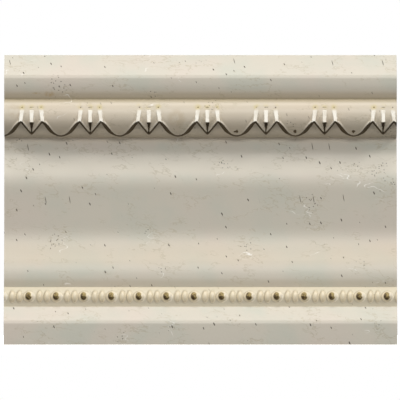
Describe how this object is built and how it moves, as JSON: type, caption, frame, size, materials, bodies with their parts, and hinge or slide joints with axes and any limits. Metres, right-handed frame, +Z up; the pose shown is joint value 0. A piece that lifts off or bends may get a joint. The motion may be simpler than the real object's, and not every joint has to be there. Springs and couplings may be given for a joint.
{
  "type": "cornice moulding",
  "caption": "Straight glazed ceramic moulding with an egg-and-dart torus above a long hollow and a bead-and-reel astragal.",
  "frame": {"origin": "middle of the underside, which is the bottom centre of the whole piece", "axes": "+X along the run of the moulding, +Y towards the wall, +Z up; the carved front faces -Y"},
  "size_m": [0.2, 0.034, 0.1475],
  "materials": {
    "travertine_glaze": "satin cream glaze with travertine pits and veins, brown patina in the carving"
  },
  "bodies": {
    "root": {"cornice_moulding": "travertine_glaze"}
  },
  "joints": []
}
